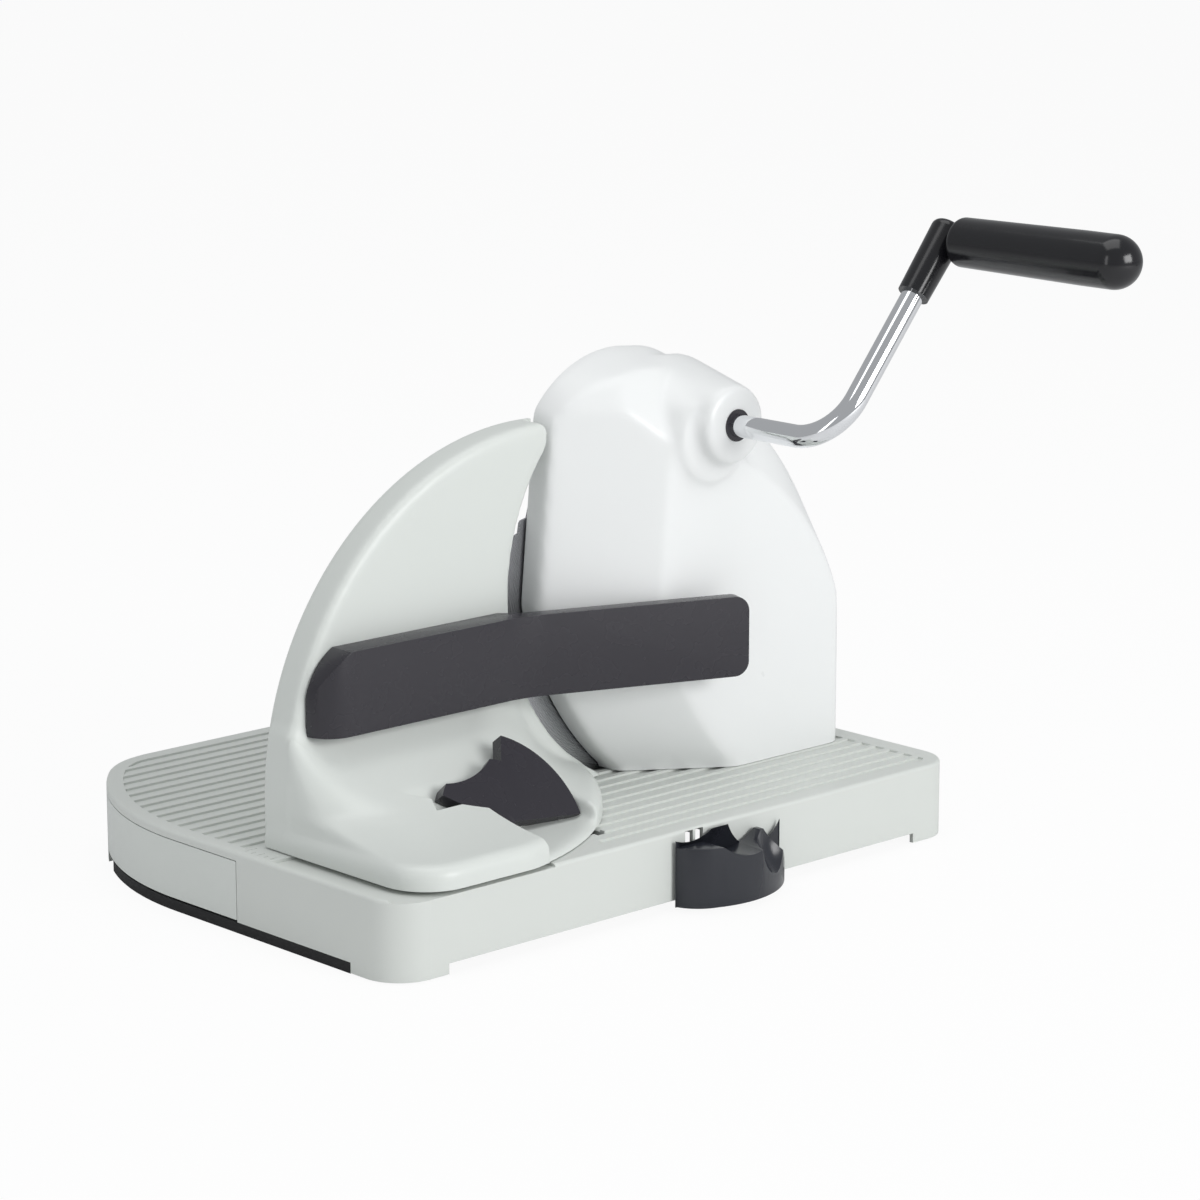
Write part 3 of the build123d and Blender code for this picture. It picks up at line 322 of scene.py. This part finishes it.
def drum(name, centre, axis, radius, end_radius, length, segments=64):
    """A round tool solid that starts at a centre and runs along an axis."""
    bm = bmesh.new()
    bmesh.ops.create_cone(bm, cap_ends=True, segments=segments, radius1=radius, radius2=end_radius, depth=length)
    bmesh.ops.translate(bm, vec=(0, 0, length / 2), verts=bm.verts[:])
    turn = Vector((0, 0, 1)).rotation_difference(Vector(axis)).to_matrix()
    bmesh.ops.rotate(bm, cent=(0, 0, 0), matrix=turn, verts=bm.verts[:])
    bmesh.ops.translate(bm, vec=Vector(centre), verts=bm.verts[:])
    return piece(bm, name)


def work(thing, kind, **settings):
    """Add a modifier and apply it."""
    modifier = thing.modifiers.new(kind.lower(), kind)
    for key, value in settings.items():
        setattr(modifier, key, value)
    graph = bpy.context.evaluated_depsgraph_get()
    mesh = bpy.data.meshes.new_from_object(thing.evaluated_get(graph))
    thing.modifiers.clear()
    old = thing.data
    thing.data = mesh
    bpy.data.meshes.remove(old)
    return thing


def combine(thing, operation, *tools):
    """Cut, join or intersect a piece with tool solids, which are then thrown away."""
    for tool in tools:
        work(thing, "BOOLEAN", operation=operation, object=tool, solver="EXACT")
        bpy.data.objects.remove(tool)
    return thing


def soften(thing, voxel, rounds):
    """Melt a solid's forms together: fine voxels, then gentle smoothing."""
    work(thing, "REMESH", mode="VOXEL", voxel_size=voxel * mm, adaptivity=0.0)
    work(thing, "SMOOTH", factor=0.5, iterations=rounds)
    return thing


def slice_off(thing, point, outward, fill=True):
    """Cut a piece along a plane and throw away the outer side."""
    bm = bmesh.new()
    bm.from_mesh(thing.data)
    parts = bm.verts[:] + bm.edges[:] + bm.faces[:]
    cut = bmesh.ops.bisect_plane(bm, geom=parts, plane_co=Vector(point) * mm, plane_no=Vector(outward),
                                 clear_outer=True)
    if fill:
        rim = [part for part in cut["geom_cut"] if isinstance(part, bmesh.types.BMEdge)]
        bmesh.ops.holes_fill(bm, edges=rim, sides=0)
    bm.to_mesh(thing.data)
    bm.free()
    return thing


def hang(thing, material, body, slot, *nodes, smooth=40.0):
    """Give a finished piece its material, its body and the solids it stands for; the slot argument is not used."""
    thing.data.materials.clear()
    thing.data.materials.append(material)
    thing.data.shade_smooth()
    if smooth:
        thing.data.set_sharp_from_angle(angle=math.radians(smooth))
    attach(thing, body)
    if nodes:
        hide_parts(*nodes)
    return thing


def slanted_cover(name, *steps):
    """The cover's front view extruded towards the user, drifting sideways or down on the way."""
    points = [(46.5, cover_base - past_cut), (46.5, cover_base)]
    points += bow(points[-1], (9.0, 88.0), (-10.5, 140.0), 16)
    points += [(-1.0, 243.0)]
    points += bow(points[-1], (26.0, 264.5), (66.0, 270.0), 14)
    points += bow(points[-1], (90.0, 264.5), (109.0, 249.3), 10)
    points += bow(points[-1], (166.6, 194.7), (187.5, 119.5), 20)
    points += [(187.5, cover_base - past_cut)]
    bm = bmesh.new()
    face = outline(bm, points, lambda u, v: (u, cover_rear + past_cut, v))
    push(bm, face, *steps)
    return piece(bm, name)


ahead = cover_side_start - cover_front + 6.0
cover = slanted_cover("gear_cover", (0, cover_side_start - cover_rear - past_cut, 0),
                      (ahead * cover_left_drift, -ahead, 0))
down = roof_crease_y - cover_front + 6.0
roof_reach = cover_rear + past_cut - roof_crease_y
roof_rate = roof_fall / (cover_rear - roof_crease_y)
roof = slanted_cover("roof_form", (0, -roof_reach, -roof_rate * roof_reach), (0, -down, -down * brow_slope))
roof.data.transform(Matrix.Translation((0, 0, roof_rate * past_cut * mm)))
right = slanted_cover("right_form", (0, right_edge_y - cover_rear - past_cut, 0),
                      (-(right_edge_y - cover_front + 6.0) * right_slope, cover_front - 6.0 - right_edge_y, 0))
combine(cover, "INTERSECT", roof, right)
slice_off(cover, (0, cover_front, 0), (0, -1, 0))
boss_root = (crank_axis[0], cover_side_start, crank_axis[1])
boss = drum("boss_form", boss_root, (0, -1, 0), boss_skirt, boss_radius, cover_side_start - boss_front)
shoulder = drum("boss_shoulder", (crank_axis[0] - 6.0, cover_side_start, crank_axis[1] - 7.0), (0, -1, 0),
                shoulder_radius, shoulder_end, cover_side_start - cover_front + 4.0)
combine(cover, "UNION", boss, shoulder)
soften(cover, cover_voxel, cover_softening)
mouth = (crank_axis[0], boss_front - 9.0, crank_axis[1])
combine(cover, "DIFFERENCE", drum("bush_tool", mouth, (0, 1, 0), bush_hole, bush_hole, 30.0, 48))
slice_off(cover, (0, cover_rear, 0), (0, 1, 0), fill=False)
slice_off(cover, (0, 0, cover_base), (0, 0, -1), fill=False)
work(cover, "SOLIDIFY", thickness=cover_wall * mm, offset=-1.0)
hang(cover, cover_white_painted_light, "base", "white_shell", "gear_housing", smooth=50.0)
dress(body_white, "housing_back_plate")


# ---------------------------------------------------------------- stop plate
# The upright plate that the loaf is pushed against, moulded in one with its wide
# foot. A flare sweeps from the foot up into the plate and leaves a hollow for the dial.
plate_back = 30.4
plate_front = 14.0
foot_bottom = 42.65
foot_front = -90.6
foot_left = -183.6
dial_centre = (-89.0, -43.0, 52.0)
dial_tilt = math.radians(37)
dial_out = Vector((0, -math.cos(dial_tilt), math.sin(dial_tilt)))
dial_up = Vector((0, math.sin(dial_tilt), math.cos(dial_tilt)))
hood_start = (-98.0, -42.7)
hood_run = (-202.0, 141.5)
plate_voxel = 1.7
plate_softening = 10
behind_plate = 44.0
below_foot = 30.0
hollow_softening = 30


def plate_slab(name):
    """The upright part of the plate, a quarter disc with a hollowed right edge."""
    points = [(35.5, below_foot), (35.5, foot_bottom)]
    points += bow(points[-1], (-31.5, 150.0), (-4.1, 226.0), 30)
    points += [(-3.3, 233.5)]
    points += bow(points[-1], (-4.7, 237.3), (-9.3, 239.0), 4)
    points += bow(points[-1], (-130.8, 188.3), (-181.5, 66.0), 40)
    points += [(-181.5, below_foot)]
    bm = bmesh.new()
    face = outline(bm, points, lambda u, v: (u, behind_plate, v))
    push(bm, face, (0, plate_front - behind_plate, 0))
    return piece(bm, name)


def foot_ring(bm, height, front, left, front_end, right_end, corner):
    """Plan of the foot or flare at one height: rounded left corner, bulging right side."""
    points = [(left, behind_plate - 1.0), (left, front + corner)]
    turn = corner * (1 - math.sqrt(0.5))
    points += bow(points[-1], (left + turn, front + turn), (left + corner, front), 10)
    points += [(front_end, front)]
    across = Vector(right_end) - Vector(points[-1])
    swell = (Vector(points[-1]) + Vector(right_end)) / 2 + Vector((across.y, -across.x)) * 0.13
    points += bow(points[-1], swell, right_end, 16)
    points += [(right_end[0], behind_plate - 1.0)]
    corners = [bm.verts.new((u, v, height)) for u, v in points]
    return [bm.edges.new(pair) for pair in zip(corners, corners[1:] + corners[:1])]


def between(start, pull, end, along):
    """A value on the curve from start to end that leaves towards pull."""
    return start * (1 - along) ** 2 + 2 * pull * along * (1 - along) + end * along ** 2


def plate_foot(name):
    """Foot and flare as rings of plan outlines, joined from the deck up into the plate."""
    bm = bmesh.new()
    rings = []
    for height, inset in ((below_foot, 0.0), (49.0, 0.0), (52.0, 1.2), (54.0, 4.2)):
        rings.append(foot_ring(bm, height, foot_front + inset, foot_left + inset, -110.0, (24.0 - inset, 25.0), 26.0 - inset))
    for step in range(1, 13):
        t = step / 12
        front = between(foot_front + 4.2, -6.0, 14.5, t)
        corner = min(between(21.8, 60.0, 40.0, t), 0.9 * (plate_front + 2.0 - front))
        rings.append(foot_ring(bm, between(54.0, 60.0, 103.0, t), front, between(foot_left + 4.2, -181.5, -180.0, t),
                               between(-110.0, -84.0, -60.0, t),
                               (between(19.8, -14.0, -27.0, t), between(25.0, 18.0, 16.0, t)), corner))
    for lower, upper in zip(rings, rings[1:]):
        bmesh.ops.bridge_loops(bm, edges=lower + upper)
    for ring in (rings[0], rings[-1]):
        bmesh.ops.contextual_create(bm, geom=ring)
    return piece(bm, name)


def floor_cut(thing, height):
    """Close a piece again flat at its foot."""
    return slice_off(thing, (0, 0, height), (0, 0, -1))


def hood_wedge(name):
    """Everything left of the hood's edge, from the deck upwards."""
    points = [hood_start, (hood_start[0], -230.0), (-400.0, -230.0), (-400.0, 169.0)]
    bm = bmesh.new()
    face = outline(bm, points, lambda u, v: (u, v, 10.0))
    push(bm, face, (0, 0, 300.0))
    return piece(bm, name)


def dial_place(across, up, depth):
    """A point in the dial's own view: across and up its face, and depth below it."""
    return Vector(dial_centre) + Vector((across, 0, 0)) + dial_up * up - dial_out * depth


room = drum("dial_room", dial_place(0, 0, 8.6), dial_out, 51.8, 60.0, 90.0, 96)
slice_off(room, (0, 0, 45.2), (0, 0, -1))
open_plate = plate_slab("open_plate")
combine(open_plate, "UNION", plate_foot("open_foot"))
combine(open_plate, "DIFFERENCE", room)
soften(open_plate, plate_voxel, hollow_softening)
hood = plate_slab("stop_plate")
combine(hood, "UNION", plate_foot("hood_foot"))
soften(hood, plate_voxel, plate_softening)
hood.data.transform(Matrix.Translation(Vector((-0.12, -0.17, 0.23)) * mm))
combine(hood, "INTERSECT", hood_wedge("hood_wedge"))
combine(open_plate, "UNION", hood)
plate = open_plate
plate.name = "stop_plate"
slot_tool = drum("lobe_slot", dial_place(0, 0, 8.6), dial_out, 39.5, 39.5, 9.4, 64)
slice_off(slot_tool, (0, 0, 45.2), (0, 0, -1))
combine(plate, "DIFFERENCE", slot_tool)
blade_room = drum("blade_room", (64.0, 27.0, 124.0), (0, 1, 0), 98.0, 98.0, 20.0, 96)
combine(plate, "DIFFERENCE", blade_room)
slice_off(plate, (0, 0, foot_bottom), (0, 0, -1))
slice_off(plate, (0, plate_back - 0.05, 0), (0, 1, 0))
hang(plate, body_white, "plate", "white_shell", "stop_plate_shell", smooth=48.0)
dress(body_white, "stop_plate_face")


# ---------------------------------------------------------------- guard bar
# A black bar across the plate that keeps fingers off the blade. Its left end curls
# back onto the plate, and its right wing swings out in front of the blade.
bar_rear = 13.6
bar_front = -2.0
bar_low = 100.4
bar_high = 143.6
bar_depth = 8.0
bar_bend = -36.0
wing_angle = math.radians(20.8)
wing_length = 126.5
wing_end = (bar_bend + wing_length * math.cos(wing_angle), bar_front - wing_length * math.sin(wing_angle))
behind = (bar_depth * math.sin(wing_angle), bar_depth * math.cos(wing_angle))
bar_plan = [(-169.6, bar_rear)]
bar_plan += bow(bar_plan[-1], (-165.5, 3.2), (-153.0, bar_front), 12)
bar_plan += bow((bar_bend - 14.0, bar_front), (bar_bend - 0.3, bar_front - 1.2), (bar_bend + 13.0, bar_front - 4.9), 8)
bar_plan += [wing_end, (wing_end[0] + behind[0], wing_end[1] + behind[1])]
bar_plan += [(bar_bend + behind[0], bar_front + behind[1] + 0.6), (bar_bend - 6.0, bar_rear)]
bm = bmesh.new()
face = outline(bm, bar_plan, lambda u, v: (u, v, bar_low))
push(bm, face, (0, 0, bar_high - bar_low))
bar = piece(bm, "guard_bar")
bm = bmesh.new()
end_view = [(-230.0, 60.0), (-169.9, 60.0), (-169.4, 104.0)]
end_view += bow(end_view[-1], (-164.5, 132.0), (-149.0, 145.0), 14)
end_view += [(-149.0, 190.0), (-230.0, 190.0)]
face = outline(bm, end_view, lambda u, v: (u, 60.0, v))
push(bm, face, (0, -120.0, 0))
combine(bar, "DIFFERENCE", piece(bm, "end_tool"))


def round_some(thing, width, segments, choose):
    """Round the edges that choose(edge) picks."""
    bm = bmesh.new()
    bm.from_mesh(thing.data)
    picked = [edge for edge in bm.edges if choose(edge)]
    bmesh.ops.bevel(bm, geom=picked, offset=width * mm, segments=segments, profile=0.5, affect="EDGES",
                    offset_type="OFFSET", clamp_overlap=True)
    bm.to_mesh(thing.data)
    bm.free()
    return thing


def wing_corner(edge):
    """The two short edges at the wing's end that run from its front to its back."""
    a, b = (vert.co / mm for vert in edge.verts)
    return min(a.x, b.x) > wing_end[0] - 2.0 and abs(a.z - b.z) < 0.5


round_some(bar, 8.0, 8, wing_corner)
work(bar, "BEVEL", width=2.6 * mm, segments=4, limit_method="ANGLE", angle_limit=math.radians(38))
hang(bar, charcoal, "plate", "charcoal", "guard_bar", smooth=38.0)


# ---------------------------------------------------------------- thickness dial
# Fan shaped dial in the foot's hollow. Its upper edge is scooped out for the thumb,
# and one lobe runs under the hood.
dial_depth = 8.0
dial_radius = 50.8
lobe_radius = 35.8


def fan(name, radius, start, end):
    """A slice of the dial between two angles of its face."""
    spots = [(0.0, 0.0)]
    for step in range(25):
        turn = math.radians(start + (end - start) * step / 24)
        spots.append((radius * math.cos(turn), radius * math.sin(turn)))
    bm = bmesh.new()
    face = outline(bm, spots, lambda u, v: dial_place(u, v, dial_depth))
    push(bm, face, dial_out * dial_depth)
    return piece(bm, name)


dial = fan("thickness_dial", dial_radius, -6.0, 63.0)
combine(dial, "UNION", fan("dial_lobe", lobe_radius, 62.0, 143.0))
combine(dial, "UNION", drum("dial_hub", dial_place(0, 0, dial_depth), dial_out, 8.0, 8.0, dial_depth))
thumb = [(22.0, 46.6)]
thumb += bow(thumb[-1], (1.2, 27.8), (-24.4, 25.4), 20)
thumb += [(-60.0, 26.0), (-60.0, 90.0), (22.0, 90.0)]
bm = bmesh.new()
face = outline(bm, thumb, lambda u, v: dial_place(u, v, dial_depth + 4.0))
push(bm, face, dial_out * (dial_depth + 8.0) + dial_up * 2.5)
scoop = piece(bm, "dial_scoop")
combine(dial, "DIFFERENCE", scoop)
work(dial, "BEVEL", width=1.3 * mm, segments=3, limit_method="ANGLE", angle_limit=math.radians(38))
hang(dial, charcoal, "dial", "charcoal", "thickness_dial", smooth=38.0)


# ---------------------------------------------------------------- suction lever
# The fork under the deck comes out through two slots as flat webs and ends in a half
# moon pad, with a saddle on top and a hollow for the thumb that leaves a pointed ear.
pad_wall_side = -92.3
pad_low = 3.2
pad_high = 34.5
pad_crease = (0.0, -107.5)
pad_left = -15.2
pad_right = 59.8
pad_plan = [(pad_left, pad_wall_side)]
pad_plan += bow(pad_plan[-1], (-10.5, -101.0), pad_crease, 10)
pad_plan += bow(pad_crease, (28.0, -111.4), (pad_right, -96.5), 18)
pad_plan += [(pad_right, pad_wall_side)]
bm = bmesh.new()
face = outline(bm, pad_plan, lambda u, v: (u, v, pad_low))
push(bm, face, (0, 0, pad_high - pad_low))
pad = piece(bm, "lever_pad")
combine(pad, "DIFFERENCE", drum("pad_saddle", (22.0, -140.0, 58.0), (0, 1, 0), 30.0, 30.0, 80.0, 96))
bm = bmesh.new()
bmesh.ops.create_icosphere(bm, subdivisions=4, radius=20.0)
bmesh.ops.scale(bm, vec=(0.86, 1.0, 1.15), verts=bm.verts[:])
bmesh.ops.translate(bm, vec=(45.0, -117.0, 33.0), verts=bm.verts[:])
combine(pad, "DIFFERENCE", piece(bm, "thumb_hollow"))
slice_off(pad, (43.0, 0, pad_high), (0.78, 0, 0.62))
work(pad, "BEVEL", width=1.1 * mm, segments=3, limit_method="ANGLE", angle_limit=math.radians(28))
bm = bmesh.new()
bm.from_mesh(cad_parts["suction_lever"].data)
bmesh.ops.remove_doubles(bm, verts=bm.verts[:], dist=0.000001)
bmesh.ops.bisect_plane(bm, geom=bm.verts[:] + bm.edges[:] + bm.faces[:], plane_co=Vector((0, -92.6, 0)) * mm,
                       plane_no=Vector((0, -1, 0)), clear_outer=True)
bmesh.ops.scale(bm, vec=(1000.0, 1000.0, 1000.0), verts=bm.verts[:])
fork = piece(bm, "suction_lever")
bm = bmesh.new()
bm.from_mesh(fork.data)
bm.from_mesh(pad.data)
bm.to_mesh(fork.data)
bm.free()
bpy.data.objects.remove(pad)
hang(fork, lever_blue_black, "lever", "charcoal", "suction_lever", smooth=38.0)


# ---------------------------------------------------------------- studio
# Plain white paper floor, a soft lamp from the right front for the dark parts, a large
# one overhead, a narrow strip from the left, and an even pale surround.
def lamp(name, place, aim, size, power, height=None):
    light = bpy.data.lights.new(name, "AREA")
    light.energy = power
    light.shape = "RECTANGLE"
    light.size = size
    light.size_y = height or size
    thing = bpy.data.objects.new(name, light)
    thing.location = place
    thing.rotation_euler = (Vector(aim) - Vector(place)).to_track_quat("-Z", "Y").to_euler()
    bpy.context.scene.collection.objects.link(thing)
    return thing


lamp("front", (0.45, -2.3, 0.95), (0, 0, 0.12), 1.3, 30.0, 1.0)
lamp("overhead", (-0.1, 0.1, 2.3), (0, 0, 0.1), 1.8, 16.0)
lamp("strip", (-1.9, -0.35, 0.75), (0, 0, 0.12), 0.35, 3.2, 1.3)

bm = bmesh.new()
bmesh.ops.create_grid(bm, x_segments=1, y_segments=1, size=12000.0)
floor = piece(bm, "paper_floor")
floor.location = (0, 0, -0.0002)
paper = Finish("paper", Base_Color=(0.86, 0.86, 0.86), Roughness=0.9, Specular_IOR_Level=0.1)
glow = paper.node("Emission", {"Color": (1, 1, 1), "Strength": 1.0})
seen = paper.node("LightPath", output="Is Camera Ray")
shown = paper.node("MixShader", {0: seen * 0.93, 1: Tap(paper.tree, paper.shader.outputs[0]), 2: glow})
paper.feed(paper.surface, shown)
floor.data.materials.append(paper.material)

surround = bpy.data.worlds.new("surround")
bpy.context.scene.world = surround
surround.use_nodes = True
sky = surround.node_tree
even = sky.nodes["Background"]
even.inputs["Color"].default_value = (0.93, 0.95, 0.97, 1.0)
even.inputs["Strength"].default_value = 0.46
white = sky.nodes.new("ShaderNodeBackground")
white.inputs["Color"].default_value = (1, 1, 1, 1)
path = sky.nodes.new("ShaderNodeLightPath")
mix = sky.nodes.new("ShaderNodeMixShader")
sky.links.new(path.outputs["Is Camera Ray"], mix.inputs[0])
sky.links.new(even.outputs[0], mix.inputs[1])
sky.links.new(white.outputs[0], mix.inputs[2])
sky.links.new(mix.outputs[0], sky.nodes["World Output"].inputs["Surface"])

bpy.context.scene.view_settings.view_transform = "Standard"
